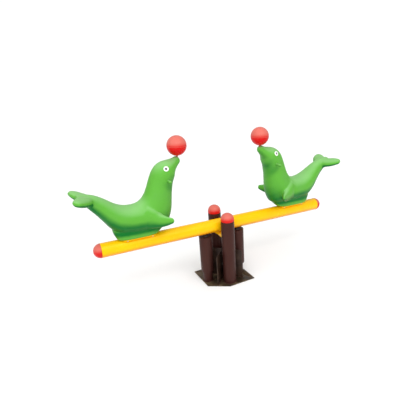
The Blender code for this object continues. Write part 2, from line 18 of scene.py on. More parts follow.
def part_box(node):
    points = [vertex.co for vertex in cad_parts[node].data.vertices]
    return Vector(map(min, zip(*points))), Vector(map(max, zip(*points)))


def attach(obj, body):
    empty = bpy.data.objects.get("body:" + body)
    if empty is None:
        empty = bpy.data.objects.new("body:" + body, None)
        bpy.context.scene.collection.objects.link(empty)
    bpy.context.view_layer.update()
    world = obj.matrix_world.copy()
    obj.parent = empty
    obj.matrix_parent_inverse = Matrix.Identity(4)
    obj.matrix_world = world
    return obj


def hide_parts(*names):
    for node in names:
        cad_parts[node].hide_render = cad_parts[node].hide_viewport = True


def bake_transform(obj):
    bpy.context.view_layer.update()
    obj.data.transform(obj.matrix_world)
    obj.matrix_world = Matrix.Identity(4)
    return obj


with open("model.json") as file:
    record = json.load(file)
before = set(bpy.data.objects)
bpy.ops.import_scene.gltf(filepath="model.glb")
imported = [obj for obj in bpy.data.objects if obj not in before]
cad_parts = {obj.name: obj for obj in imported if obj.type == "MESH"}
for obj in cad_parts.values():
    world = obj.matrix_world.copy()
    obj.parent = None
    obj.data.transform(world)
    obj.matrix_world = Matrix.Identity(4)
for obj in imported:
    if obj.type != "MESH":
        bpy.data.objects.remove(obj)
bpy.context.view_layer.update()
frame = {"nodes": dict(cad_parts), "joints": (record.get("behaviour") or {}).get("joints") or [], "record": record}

# %% [markdown]
# ## Where things are
#
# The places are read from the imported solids, so nothing can drift away from the design. The beam
# rests a little out of level: its tilt follows from the two end caps. A seat is then built flat, in
# its own frame, and turned into place by one matrix. In a seat's frame +X points away from the
# pivot and Z = 0 is the beam's axis.

# %% Places read from the frame
SEATS = {"left": math.pi, "right": 0.0}   # how far each seat's frame is turned about Z
STRUTS = ("left", "right")
POSTS = ("front", "rear")


def box_centre(node):
    low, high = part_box(node)
    return (low + high) / 2


def box_size(node):
    low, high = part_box(node)
    return high - low


def in_frame(node, matrix):
    """The lowest and highest corner of a node, measured in another frame."""
    back = matrix.inverted()
    points = [back @ v.co for v in frame["nodes"][node].data.vertices]
    return [Vector(pick(p[i] for p in points) for i in range(3)) for pick in (min, max)]


left_end, right_end = box_centre("beam_cap_left"), box_centre("beam_cap_right")
run = right_end - left_end
TILT = math.atan2(-run.z, run.x)
BEAM = Matrix.Translation((left_end + right_end) / 2) @ Matrix.Rotation(TILT, 4, "Y")
SEAT = {name: BEAM @ Matrix.Rotation(turn, 4, "Z") for name, turn in SEATS.items()}
TUBE = box_size("post_front").y / 2
pivot = next(joint for joint in frame["joints"] if joint["name"] == "beam_rock")["pos_m"]
print(f"tilt {math.degrees(TILT):.2f} degrees, pivot {pivot[2]:.4f} m up, tube radius {TUBE:.4f} m")

# %% [markdown]
# ## Camera, floor and light
#
# A product shot stands the seesaw on plain white, seen from a little above. The lens is a moderate
# wide angle from a few metres, so the near half of the beam looks clearly longer than the far half.
# The light is a very wide sun from the upper left, a white sky, and one weak panel for the gloss. A
# small sun would throw a hard shadow on the floor. The camera sees the sky brighter than the seesaw
# does, so that floor and backdrop run together.

# %% Camera
CAMERA_PLACE = Vector((-1.3676, -2.6479, 1.8273))
CAMERA_HEADING, CAMERA_PITCH, CAMERA_ROLL = (math.radians(a) for a in (25.618, -21.486, -3.704))
CAMERA_LENS = 31.91               # millimetres, on a 36 mm sensor

camera = bpy.data.objects.new("camera", bpy.data.cameras.new("camera"))
bpy.context.scene.collection.objects.link(camera)
camera.data.lens = CAMERA_LENS
camera.data.sensor_width = 36.0
camera.matrix_world = (Matrix.Translation(CAMERA_PLACE)
                       @ Matrix.Rotation(-CAMERA_HEADING, 4, "Z")
                       @ Matrix.Rotation(math.pi / 2 + CAMERA_PITCH, 4, "X")
                       @ Matrix.Rotation(CAMERA_ROLL, 4, "Z"))
bpy.context.scene.camera = camera
print(f"camera {CAMERA_PLACE.length:.2f} m from the origin")

# %% Floor, lights and sky
FLOOR_HALF = 60.0
SUN_STRENGTH = 2.5
SUN_SPREAD = 105                  # degrees; a wide sun leaves next to no shadow
SUN_PLACE = (-0.45, -0.70, 1.15)
SKY_STRENGTH = 0.62
BACKDROP = 1.05                   # how bright the camera sees the sky
FLOOR_WHITE = 0.88
PANEL_PLACE = Vector((-0.5, -2.2, 3.4))
PANEL_TARGET = Vector((0.0, 0.0, 0.6))
PANEL_SIZE = (3.6, 0.6)
PANEL_POWER = 26                  # watts


def add_lamp(name, kind, shines_along):
    """A lamp that shines along a direction."""
    lamp = bpy.data.objects.new(name, bpy.data.lights.new(name, kind))
    bpy.context.scene.collection.objects.link(lamp)
    lamp.rotation_euler = shines_along.to_track_quat("-Z", "Y").to_euler()
    return lamp


bm = bmesh.new()
bmesh.ops.create_grid(bm, x_segments=1, y_segments=1, size=FLOOR_HALF)
floor_mesh = bpy.data.meshes.new("floor")
bm.to_mesh(floor_mesh)
bm.free()
floor = bpy.data.objects.new("floor", floor_mesh)
bpy.context.scene.collection.objects.link(floor)

pale = bpy.data.materials.new("pale_floor")
pale.use_nodes = True
ground_look = pale.node_tree.nodes["Principled BSDF"].inputs
ground_look["Base Color"].default_value = (FLOOR_WHITE, FLOOR_WHITE, FLOOR_WHITE, 1)
ground_look["Roughness"].default_value = 0.9
floor_mesh.materials.append(pale)

sun = add_lamp("soft_sun", "SUN", -Vector(SUN_PLACE))
sun.data.energy = SUN_STRENGTH
sun.data.angle = math.radians(SUN_SPREAD)
panel = add_lamp("gloss_panel", "AREA", PANEL_TARGET - PANEL_PLACE)
panel.location = PANEL_PLACE
panel.data.shape = "RECTANGLE"
panel.data.size, panel.data.size_y = PANEL_SIZE
panel.data.energy = PANEL_POWER

sky = bpy.data.worlds.new("sky")
sky.use_nodes = True
shown = sky.node_tree.nodes["Background"]
shown.inputs["Strength"].default_value = BACKDROP
lit = sky.node_tree.nodes.new("ShaderNodeBackground")
lit.inputs["Strength"].default_value = SKY_STRENGTH
for light in (shown, lit):
    light.inputs["Color"].default_value = (1.0, 1.0, 1.0, 1)
path = sky.node_tree.nodes.new("ShaderNodeLightPath")
either = sky.node_tree.nodes.new("ShaderNodeMixShader")
sky.node_tree.links.new(path.outputs["Is Camera Ray"], either.inputs[0])
sky.node_tree.links.new(lit.outputs[0], either.inputs[1])
sky.node_tree.links.new(shown.outputs[0], either.inputs[2])
sky.node_tree.links.new(either.outputs[0], sky.node_tree.nodes["World Output"].inputs[0])
bpy.context.scene.world = sky
bpy.context.scene.view_settings.view_transform = "Standard"
print("stage: floor, soft sun, gloss panel, sky")

# %% [markdown]
# ## Finishes
#
# The real seesaw has five: powder coat on the steel tubes and brackets, a rougher coat on the
# ground plate and its webs, gloss moulded plastic for the caps and balls, satin rotomoulded plastic
# for the seats, and bare zinc on the small steel pieces. Each one is a small node tree on Object
# coordinates, so a pattern keeps its place when a piece moves. A helper keeps the trees short: it
# adds a node, sets its plain inputs, and joins the ones that are sockets.

# %% Helpers for materials
def add_node(tree, kind, **inputs):
    """Adds a shader node. An input's value is a plain value or another node's output socket."""
    made = tree.nodes.new(kind)
    for name, value in inputs.items():
        slot_name = name.replace("_", " ")
        socket = made.inputs[int(name[1:])] if name[1:].isdigit() else made.inputs[slot_name]
        if isinstance(value, bpy.types.NodeSocket):
            tree.links.new(value, socket)
        else:
            socket.default_value = value
    return made


def ramp(tree, factor, stops):
    """A colour ramp from (position, colour) pairs."""
    made = add_node(tree, "ShaderNodeValToRGB", Fac=factor)
    elements = made.color_ramp.elements
    while len(elements) < len(stops):
        elements.new(0.5)
    for element, (position, colour) in zip(elements, stops):
        element.position = position
        element.color = (*colour, 1.0)
    return made.outputs["Color"]


def grain(tree, place, scale, detail=4.0, roughness=0.55):
    made = add_node(tree, "ShaderNodeTexNoise", Vector=place, Scale=scale, Detail=detail,
                    Roughness=roughness)
    return made.outputs["Fac"]


def remap(tree, value, low, high, new_low, new_high):
    made = add_node(tree, "ShaderNodeMapRange", Value=value, From_Min=low, From_Max=high,
                    To_Min=new_low, To_Max=new_high)
    return made.outputs["Result"]


def blend_colour(tree, factor, first, second, mode="MIX"):
    made = tree.nodes.new("ShaderNodeMix")
    made.data_type = "RGBA"
    made.blend_type = mode
    for index, value in ((0, factor), (6, first), (7, second)):
        if isinstance(value, bpy.types.NodeSocket):
            tree.links.new(value, made.inputs[index])
        else:
            made.inputs[index].default_value = value if index == 0 else (*value, 1.0)
    return made.outputs[2]


def reading(tree, attribute):
    """The value of a point attribute of the mesh; 0 where a mesh has none."""
    node = tree.nodes.new("ShaderNodeAttribute")
    node.attribute_name = attribute
    return node.outputs["Fac"]


def new_finish(name):
    """A material with its shader, its tree and its Object coordinates."""
    made = bpy.data.materials.new(name)
    made.use_nodes = True
    tree = made.node_tree
    place = tree.nodes.new("ShaderNodeTexCoord").outputs["Object"]
    return made, tree, tree.nodes["Principled BSDF"], place


def add_bump(tree, shader, height, strength, distance=0.001):
    made = add_node(tree, "ShaderNodeBump", Height=height, Strength=strength, Distance=distance)
    tree.links.new(made.outputs["Normal"], shader.inputs["Normal"])


print("material helpers ready")

# %% [markdown]
# ### Powder coat on the tubes
#
# Powder coat melts into a smooth skin with a faint orange peel. Outdoors it dulls in patches and
# gets small specks. One flat colour would look lifeless, and an image would need a layout on the
# mesh, so three noises at different scales do it: a broad one shifts the colour, a fine one makes
# the specks, and the finest one the peel. The yellow also has a darker orange, painted shade on
# the faces that look down.

# %% Powder coats
def powder_coat(name, colour, dull, roughness, sheen, shade_colour=None, peel=0.10):
    made, tree, shader, place = new_finish(name)
    shader.inputs["Specular IOR Level"].default_value = sheen[0]
    shader.inputs["Specular Tint"].default_value = (*sheen[1], 1.0)
    broad = grain(tree, place, 5.0, 5.0)
    patch = remap(tree, broad, 0.35, 0.70, 0.0, 1.0)
    tint = blend_colour(tree, patch, colour, dull)
    specks = grain(tree, place, 160.0, 3.0)
    worn = remap(tree, specks, 0.66, 0.78, 0.0, 0.35)
    tint = blend_colour(tree, worn, tint, tuple(c * 0.55 for c in dull))
    # Painted shade: faces that look down take the darker colour.
    if shade_colour:
        tint = blend_colour(tree, reading(tree, "painted_shade"), tint, shade_colour)
    tree.links.new(tint, shader.inputs["Base Color"])
    tree.links.new(remap(tree, broad, 0.3, 0.7, roughness - 0.05, roughness + 0.09),
                   shader.inputs["Roughness"])
    add_bump(tree, shader, grain(tree, place, 420.0, 2.0), peel)
    return made


# The yellow's last colour is painted shade for the lower side of the beam.
YELLOW = powder_coat("yellow_coat", (0.94, 0.520, 0.002), (0.92, 0.450, 0.003), 0.26,
                     (0.5, (1.0, 0.86, 0.22)), shade_colour=(0.72, 0.235, 0.001))
BROWN = powder_coat("brown_coat", (0.036, 0.0105, 0.0085), (0.042, 0.0150, 0.0115), 0.42,
                    (0.25, (1.0, 0.62, 0.55)))
print("powder coats:", YELLOW.name, BROWN.name)

# %% [markdown]
# ### The ground plate's coat
#
# The plate and its upright webs are walked on and rained on, and their dark coat is mottled: darker
# in some places, and lighter in others, where the light patches are painted reflection of the glossy
# coat. A colour ramp over one noise gives the mottle, and a second noise the scuffs. One tree serves
# both, and the webs only have a darker set of colours, painted shade for where they stand between
# the posts.

# %% Ground plate coat
def coat_with_scuffs_and_painted_gleam(name, dark, middle, light, scuffed):
    made, tree, shader, place = new_finish(name)
    mottle = grain(tree, place, 11.0, 6.0, 0.62)
    scuff = grain(tree, place, 60.0, 5.0, 0.7)
    # The light end of the mottle is painted reflection; the scuffs are wear.
    tint = ramp(tree, mottle, [(0.32, dark), (0.48, middle), (0.62, light)])
    tint = blend_colour(tree, remap(tree, scuff, 0.58, 0.72, 0.0, 0.6), tint, scuffed)
    tree.links.new(tint, shader.inputs["Base Color"])
    tree.links.new(remap(tree, mottle, 0.3, 0.7, 0.30, 0.55), shader.inputs["Roughness"])
    shader.inputs["Specular IOR Level"].default_value = 0.3
    shader.inputs["Metallic"].default_value = 0.15
    add_bump(tree, shader, scuff, 0.25)
    return made


# Colours: dark, middle, light for painted reflection, and scuffed.
BRONZE = coat_with_scuffs_and_painted_gleam("bronze_coat", (0.020, 0.012, 0.007), (0.055, 0.034, 0.018),
                   (0.115, 0.078, 0.040), (0.135, 0.100, 0.060))
# The webs' darker colours are painted shade, for where they stand between the posts.
WEB_SHADED = coat_with_scuffs_and_painted_gleam("web_coat_shaded", (0.016, 0.007, 0.005), (0.030, 0.014, 0.009), (0.050, 0.027, 0.016),
                (0.058, 0.040, 0.026))
print("plate and web coats:", BRONZE.name, WEB_SHADED.name)

# %% [markdown]
# ### Moulded plastic
#
# The moulded plastic is painted lighter where it faces up, as painted light, and darker where it
# faces down, as painted shade. The mesh carries that as two point attributes: one is 1 where the
# surface faces down, and the other is 1 where it faces up. The tree only mixes three colours by
# them, with noise so that the border isn't too clean. A third attribute marks grooves, which get
# painted shade.

# %% Moulded plastics
def moulded(name, main, painted_light, shade_colour, roughness, sheen, texture=0.12):
    made, tree, shader, place = new_finish(name)
    shader.inputs["Specular IOR Level"].default_value = sheen[0]
    shader.inputs["Specular Tint"].default_value = (*sheen[1], 1.0)
    cloud = grain(tree, place, 7.0, 4.0)
    drift = remap(tree, cloud, 0.3, 0.7, -0.10, 0.10)

    def drifted(attribute):
        total = tree.nodes.new("ShaderNodeMath")
        total.operation = "ADD"
        total.use_clamp = True
        tree.links.new(reading(tree, attribute), total.inputs[0])
        tree.links.new(drift, total.inputs[1])
        return total.outputs[0]

    # Painted light on faces that look up, painted shade on faces that look down.
    tint = blend_colour(tree, drifted("painted_light"), main, painted_light)
    tint = blend_colour(tree, drifted("painted_shade"), tint, shade_colour)
    # Painted shade in grooves: a darker version of the shade colour.
    tint = blend_colour(tree, reading(tree, "hollow"), tint, tuple(c * 0.55 for c in shade_colour))
    tree.links.new(tint, shader.inputs["Base Color"])
    tree.links.new(remap(tree, cloud, 0.3, 0.7, roughness - 0.04, roughness + 0.08),
                   shader.inputs["Roughness"])
    add_bump(tree, shader, grain(tree, place, 300.0, 2.0), texture)
    return made


# Own green, then painted light for the tops and painted shade for the lower faces.
GREEN = moulded("seal_green", (0.098, 0.355, 0.036), (0.215, 0.470, 0.155),
                (0.0005, 0.135, 0.016), 0.40, (0.28, (0.45, 1.0, 0.50)))
# Own red, then a painted highlight for the tops and painted shade for the lower faces.
RED = moulded("gloss_red", (0.58, 0.006, 0.005), (0.58, 0.145, 0.112),
              (0.54, 0.002, 0.003), 0.24, (0.30, (1.0, 0.42, 0.38)), texture=0.04)
print("plastics:", GREEN.name, RED.name)

# %% [markdown]
# ### The small finishes
#
# Eyes are gloss paint, the buffers are rubber, the bushes nylon, and the bolts and springs zinc
# plated steel, whose plating has a faint spangle. They differ in colour, gloss and grain only, so
# one function makes them all.

# %% Small finishes
def plain_finish(name, light, dark, scale, roughness, metallic=0.0, bump=0.1):
    made, tree, shader, place = new_finish(name)
    cloud = grain(tree, place, scale)
    tint = ramp(tree, cloud, [(0.35, dark), (0.65, light)])
    tree.links.new(tint, shader.inputs["Base Color"])
    tree.links.new(remap(tree, cloud, 0.3, 0.7, roughness + 0.06, roughness - 0.04),
                   shader.inputs["Roughness"])
    shader.inputs["Metallic"].default_value = metallic
    add_bump(tree, shader, grain(tree, place, scale * 6), bump)
    return made


EYE_WHITE = plain_finish("eye_white_gloss", (0.92, 0.92, 0.88), (0.84, 0.84, 0.79), 40.0, 0.20,
                         bump=0.03)
EYE_GREY = plain_finish("eye_grey_gloss", (0.16, 0.155, 0.165), (0.10, 0.10, 0.11), 60.0, 0.15,
                        bump=0.03)
ZINC = plain_finish("zinc_plate", (0.62, 0.62, 0.64), (0.40, 0.40, 0.43), 70.0, 0.34, 1.0)
NYLON = plain_finish("white_nylon", (0.80, 0.78, 0.70), (0.70, 0.68, 0.60), 30.0, 0.48)
RUBBER = plain_finish("black_rubber", (0.024, 0.016, 0.014), (0.014, 0.010, 0.009), 50.0, 0.72,
                      bump=0.3)
FINISH = {"brown_paint": BROWN, "bronze_paint": BRONZE, "yellow_paint": YELLOW, "red_plastic": RED,
          "green_plastic": GREEN, "eye_white": EYE_WHITE, "eye_grey": EYE_GREY, "zinc_steel": ZINC,
          "bush_nylon": NYLON, "black_rubber": RUBBER}
print("finishes:", len(FINISH))

# %% [markdown]
# Small pieces that are hidden or nearly so, such as bushes and spacers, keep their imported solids.
# They only need the better finish, which goes straight into their material slots.

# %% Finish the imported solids
for part in frame["record"]["subparts"]:
    solid = frame["nodes"][part["node"]]
    solid.data.materials.clear()
    solid.data.materials.append(FINISH[part["material_slot"]])

# %% [markdown]
# ## Mesh helpers
#
# Most of a seesaw is turned: tubes, caps, balls, buffers, grips. A turned piece is an outline spun
# about an axis, and its look lives in the outline's corners, because real edges are never sharp. So
# one helper rounds an outline's corners, and another spins it. A second family is flat plates, made
# from a rounded outline that is pushed up and bevelled.

# %% Shapes from outlines
def fillet(points, radius, steps=3, spun=True):
    """Rounds the corners of a closed outline of (x, y) points.

    An outline that gets spun has its axis at x = 0, and the corners there stay sharp. Bends of less
    than 15 degrees also stay as they are, because they belong to a curve.
    """
    rounded = []
    count = len(points)
    for i, point in enumerate(points):
        here = Vector(point)
        before, after = Vector(points[i - 1]) - here, Vector(points[(i + 1) % count]) - here
        reach = min(radius, before.length * 0.45, after.length * 0.45)
        if (spun and here.x < 1e-6) or before.angle(after) > math.radians(165):
            rounded.append(here)
            continue
        start, end = here + before.normalized() * reach, here + after.normalized() * reach
        for step in range(steps + 1):
            t = step / steps
            rounded.append(start.lerp(here, t).lerp(here.lerp(end, t), t))
    return rounded


def arc(radius, centre, start, end, steps):
    """Points (x, y) on a circle about (0, centre), angles in degrees from the horizontal."""
    angles = (math.radians(start + (end - start) * i / steps) for i in range(steps + 1))
    return [Vector((max(radius * math.cos(a), 0.0), centre + radius * math.sin(a))) for a in angles]


def finish_mesh(bm, name, material, matrix=None, smooth_angle=35):
    """Turns a bmesh into a linked object at the origin, with its place in its mesh."""
    bmesh.ops.remove_doubles(bm, verts=bm.verts, dist=1e-6)
    bmesh.ops.recalc_face_normals(bm, faces=bm.faces)
    if matrix is not None:
        bm.transform(matrix)
    mesh = bpy.data.meshes.new(name)
    bm.to_mesh(mesh)
    bm.free()
    mesh.shade_smooth()
    mesh.set_sharp_from_angle(angle=math.radians(smooth_angle))
    mesh.materials.append(material)
    made = bpy.data.objects.new(name, mesh)
    bpy.context.scene.collection.objects.link(made)
    return made


def turned(name, outline, material, matrix, steps=96):
    """A closed outline of (radius, height) points, spun about Z and then put in place."""
    bm = bmesh.new()
    verts = [bm.verts.new((radius, 0.0, height)) for radius, height in outline]
    edges = [bm.edges.new((a, b)) for a, b in zip(verts, verts[1:] + verts[:1])
             if a.co.x > 1e-9 or b.co.x > 1e-9]
    bmesh.ops.spin(bm, geom=verts + edges, cent=(0, 0, 0), axis=(0, 0, 1), angle=2 * math.pi,
                   steps=steps, use_duplicate=False)
    return finish_mesh(bm, name, material, matrix)


def tube_outline(outer, inner, bottom, top, edge=0.0012):
    return fillet([(outer, top), (outer, bottom), (inner, bottom), (inner, top)], edge)


def plate(name, outline, thickness, material, matrix, edge=0.0012):
    """A flat outline pushed up along Z, with a small bevel round both faces."""
    bm = bmesh.new()
    face = bm.faces.new([bm.verts.new((x, y, 0.0)) for x, y in outline])
    pushed = bmesh.ops.extrude_face_region(bm, geom=[face])
    raised = [item for item in pushed["geom"] if isinstance(item, bmesh.types.BMVert)]
    bmesh.ops.translate(bm, vec=(0, 0, thickness), verts=raised)
    rims = [e for e in bm.edges if e.calc_face_angle(0.0) > math.radians(60)]
    bmesh.ops.bevel(bm, geom=rims, offset=edge, segments=2, affect="EDGES", profile=0.5)
    return finish_mesh(bm, name, material, matrix)


def settle(piece, body, slot, *nodes):
    """Rides a finished piece on its body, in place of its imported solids."""
    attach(piece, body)
    if nodes:
        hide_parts(*nodes)
    print(f"{piece.name}: {len(piece.data.polygons)} faces on {body}")


print("mesh helpers ready")

# %% [markdown]
# Moulded pieces need the three attributes that their plastic reads. The painted shade beneath and
# the painted light on top come from each point's normal. The painted shade in grooves comes from the
# mesh itself: where a point lies below the middle of its neighbours, the surface is a groove.

# %% Attributes for plastic
def soft_step(value, low, high):
    t = np.clip((value - low) / (high - low), 0.0, 1.0)
    return t * t * (3 - 2 * t)


def mark_plastic(mesh, painted_shade=(0.15, 0.75), painted_light=(0.10, 0.95), shown=1.0, groove=0.0):
    """Stores painted shade, painted light and painted shade in grooves on the points; returns them for changes."""
    count = len(mesh.vertices)
    normals = np.empty(count * 3, np.float32)
    mesh.vertex_normals.foreach_get("vector", normals)
    up = normals.reshape(-1, 3)[:, 2]
    # Painted shade where a point faces down, painted light where it faces up.
    values = {"painted_shade": soft_step(-up, *painted_shade), "painted_light": soft_step(up, *painted_light) * shown,
              "hollow": np.zeros(count)}
    if groove:
        places = np.empty(count * 3, np.float32)
        mesh.vertices.foreach_get("co", places)
        places = places.reshape(-1, 3)
        ends = np.empty(len(mesh.edges) * 2, np.int32)
        mesh.edges.foreach_get("vertices", ends)
        first, second = ends.reshape(-1, 2).T

        def neighbour_mean(field):
            total = np.zeros_like(field)
            share = np.zeros(count)
            for a, b in ((first, second), (second, first)):
                np.add.at(total, a, field[b])
                np.add.at(share, a, 1)
            return total / np.maximum(share, 1).reshape((-1,) + (1,) * (field.ndim - 1))

        # Painted shade in grooves: points that lie below their neighbours' middle get it.
        rise = ((neighbour_mean(places) - places) * normals.reshape(-1, 3)).sum(axis=1)
        for _ in range(4):
            rise = neighbour_mean(rise)
        values["hollow"] = soft_step(rise, groove, groove * 5) * 0.6
    return values


def store(mesh, values):
    for name, value in values.items():
        mesh.attributes.new(name, "FLOAT", "POINT").data.foreach_set(
            "value", np.asarray(value, np.float32))


print("attribute helpers ready")

# %% [markdown]
# ## Geometry Nodes for what repeats
#
# Weld beads, bolts and coils are the same small shape many times over, or one shape along a path. A
# node tree makes them well: it has named inputs for its sizes, and the same tree serves every weld
# on the seesaw. The helper below makes an empty tree with those inputs, and a second one runs a tree
# on a starting mesh and keeps the result as a plain mesh.

# %% Helpers for Geometry Nodes
def new_tree(name, **sizes):
    """A tree with Geometry in and out, a float input for each size, and a Finish."""
    tree = bpy.data.node_groups.new(name, "GeometryNodeTree")
    for way in ("INPUT", "OUTPUT"):
        tree.interface.new_socket("Geometry", in_out=way, socket_type="NodeSocketGeometry")
    for label, value in sizes.items():
        socket = tree.interface.new_socket(label, in_out="INPUT", socket_type="NodeSocketFloat")
        socket.default_value = value
    tree.interface.new_socket("Finish", in_out="INPUT", socket_type="NodeSocketMaterial")
    return tree, tree.nodes.new("NodeGroupInput").outputs


def end_tree(tree, geometry, given):
    """Ends a tree in Realize Instances and Set Material."""
    real = add_node(tree, "GeometryNodeRealizeInstances", Geometry=geometry)
    painted = add_node(tree, "GeometryNodeSetMaterial", Geometry=real.outputs[0],
                       Material=given["Finish"])
    add_node(tree, "NodeGroupOutput", Geometry=painted.outputs[0])


def grow(name, source, tree, finish, matrix=None, **sizes):
    """Runs a tree on a mesh and returns the result as a plain mesh object."""
    seed = bpy.data.objects.new(f"{name}_seed", source)
    bpy.context.scene.collection.objects.link(seed)
    modifier = seed.modifiers.new("grow", "NODES")
    modifier.node_group = tree
    sizes["Finish"] = finish
    for item in tree.interface.items_tree:
        if item.in_out == "INPUT" and item.name in sizes:
            modifier[item.identifier] = sizes[item.name]
    depsgraph = bpy.context.evaluated_depsgraph_get()
    mesh = bpy.data.meshes.new_from_object(seed.evaluated_get(depsgraph))
    bpy.data.objects.remove(seed)
    if matrix is not None:
        mesh.transform(matrix)
    mesh.name = name
    mesh.shade_smooth()
    mesh.set_sharp_from_angle(angle=math.radians(35))
    made = bpy.data.objects.new(name, mesh)
    bpy.context.scene.collection.objects.link(made)
    return made


def path_mesh(name, paths):
    """Open or closed runs of points as loose edges: the paths that a tree follows."""
    bm = bmesh.new()
    for points, closed in paths:
        verts = [bm.verts.new(p) for p in points]
        ends = verts[1:] + verts[:1] if closed else verts[1:]
        for a, b in zip(verts, ends):
            bm.edges.new((a, b))
    mesh = bpy.data.meshes.new(name)
    bm.to_mesh(mesh)
    bm.free()
    return mesh


def ring(radius, height, matrix, steps=64):
    turns = (2 * math.pi * i / steps for i in range(steps))
    return [matrix @ Vector((radius * math.cos(a), radius * math.sin(a), height)) for a in turns]


print("tree helpers ready")

# %% [markdown]
# A weld is a row of frozen puddles, each overlapping the last. The tree turns the path into points
# at an even pitch, sets a ball on each, turned along the path, and varies its size a
# little with a fixed seed.

# %% The weld tree
WELD_PITCH = 0.0042
WELD_RADIUS = 0.0036

weld_tree, given = new_tree("weld_bead", Pitch=WELD_PITCH, Radius=WELD_RADIUS)
curve = add_node(weld_tree, "GeometryNodeMeshToCurve", Mesh=given["Geometry"])
steps = add_node(weld_tree, "GeometryNodeResampleCurve", Curve=curve.outputs[0])
steps.mode = "LENGTH"
weld_tree.links.new(given["Pitch"], steps.inputs["Length"])
puddle = add_node(weld_tree, "GeometryNodeMeshUVSphere", Segments=8, Rings=6)
weld_tree.links.new(given["Radius"], puddle.inputs["Radius"])
tangent = weld_tree.nodes.new("GeometryNodeInputTangent")
turn = add_node(weld_tree, "FunctionNodeAlignRotationToVector", Vector=tangent.outputs[0])
turn.axis = "X"
vary = weld_tree.nodes.new("FunctionNodeRandomValue")
vary.data_type = "FLOAT"
for label, value in (("Min", 0.85), ("Max", 1.15), ("Seed", 7)):
    next(s for s in vary.inputs if s.name == label and s.enabled).default_value = value
factor = next(s for s in vary.outputs if s.enabled)
beads = add_node(weld_tree, "GeometryNodeInstanceOnPoints", Points=steps.outputs[0],
                 Instance=puddle.outputs[0], Rotation=turn.outputs[0], Scale=factor)
end_tree(weld_tree, beads.outputs[0], given)
print("weld tree:", len(weld_tree.nodes), "nodes")

# %% [markdown]
# ## The base
#
# The base is a thick steel plate with two opposite corners cut off, two posts, two shorter posts
# for the struts, and four upright plates on the diagonals that brace them. The outline of the plate
# comes from its packed box and its two cuts.

# %% Ground plate
CORNER_CUT = (0.168, 0.107)       # along X and along Y
ANCHORS = ((-0.185, 0.170), (0.185, -0.170), (-0.150, 0.095), (0.150, -0.095))
ANCHOR_RADIUS = 0.007


def drill(piece, places, radius, depth):
    """Cuts round holes down through a piece."""
    bm = bmesh.new()
    for x, y, z in places:
        bmesh.ops.create_cone(bm, cap_ends=True, segments=32, radius1=radius, radius2=radius,
                              depth=depth, matrix=Matrix.Translation((x, y, z)))
    tool = finish_mesh(bm, "drill_bits", BRONZE)
    cut = piece.modifiers.new("holes", "BOOLEAN")
    cut.operation = "DIFFERENCE"
    cut.solver = "EXACT"
    cut.object = tool
    depsgraph = bpy.context.evaluated_depsgraph_get()
    mesh = bpy.data.meshes.new_from_object(piece.evaluated_get(depsgraph))
    piece.modifiers.clear()
    piece.data = mesh
    bpy.data.objects.remove(tool)


low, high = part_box("base_plate")
PLATE_TOP = high.z
outline = [(low.x, low.y + CORNER_CUT[1]), (low.x + CORNER_CUT[0], low.y), (high.x, low.y),
           (high.x, high.y - CORNER_CUT[1]), (high.x - CORNER_CUT[0], high.y), (low.x, high.y)]
ground = plate("ground_plate", outline, high.z - low.z, BRONZE, Matrix.Translation((0, 0, low.z)))
drill(ground, [(x, y, PLATE_TOP / 2) for x, y in ANCHORS], ANCHOR_RADIUS, 4 * PLATE_TOP)
settle(ground, "base", "bronze_paint", "base_plate")

# %% [markdown]
# Four upright plates brace the posts along the diagonals. Each is a flat outline too, but stood on
# edge and turned to its diagonal. Its size is measured in that turned frame, where it lies along X.
# Turning one web four times would be shorter, but then their lengths would not come from the
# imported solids.

# %% Upright webs
WEB_THICKNESS = 0.006
WEB_SNIP = 0.014                  # the outer top corner is snipped so that nobody catches on it
THIN_EDGE = 0.0008                # bevel of a thin plate
ON_EDGE = Matrix.Rotation(math.pi / 2, 4, "X")
DIAGONALS = [(f"web_plate_{number}", Matrix.Rotation(math.radians(angle), 4, "Z"))
             for number, angle in enumerate((45, 135, 225, 315), start=1)]

for node, turn in DIAGONALS:
    low, high = in_frame(node, turn)
    outline = [(low.x, low.z), (high.x, low.z), (high.x, high.z - WEB_SNIP),
               (high.x - WEB_SNIP, high.z), (low.x, high.z)]
    stand = turn @ Matrix.Translation((0, WEB_THICKNESS / 2, 0)) @ ON_EDGE
    web = plate(node.replace("web_plate", "diagonal_web"), outline, WEB_THICKNESS, WEB_SHADED, stand,
                edge=THIN_EDGE)
    settle(web, "base", "bronze_paint", node)

# %% [markdown]
# The posts are plain tube, closed by domed plastic caps. A cap has a short collar with a rolled lip
# over the tube's end, and a plug inside. All the caps on the seesaw share one outline.

# %% Posts and their caps
TUBE_WALL = 0.004
CAP_WALL = 0.004
CAP_PLUG = 0.035
CAP_CLEAR = 0.0004                # between the plug and the tube's bore
LIP = 0.0007                      # how far the lip of a cap stands proud


def cap_outline(radius, collar):
    """A domed cap: its seam is at height 0, and its plug hangs below."""
    bore = radius - TUBE_WALL - CAP_CLEAR
    dome = arc(radius, collar, 90, 0 if collar else 5, 28)
    lip = [(radius + LIP, 0.0045), (radius + LIP, 0.0012), (radius - 0.0006, 0.0)]
    plug = fillet([(bore, 0.0), (bore, -CAP_PLUG), (bore - CAP_WALL, -CAP_PLUG),
                   (bore - CAP_WALL, collar)], 0.001)
    inside = arc(radius - CAP_WALL, collar, 6, 90, 18)
    return dome + [Vector(p) for p in lip] + plug + inside


def add_cap(name, collar, matrix, body, node):
    cap = turned(name, cap_outline(TUBE, collar), RED, matrix)
    # The cap's top gets a painted highlight, its lower side painted shade.
    store(cap.data, mark_plastic(cap.data, painted_light=(-0.05, 0.60), shown=0.9))
    settle(cap, body, "red_plastic", node)


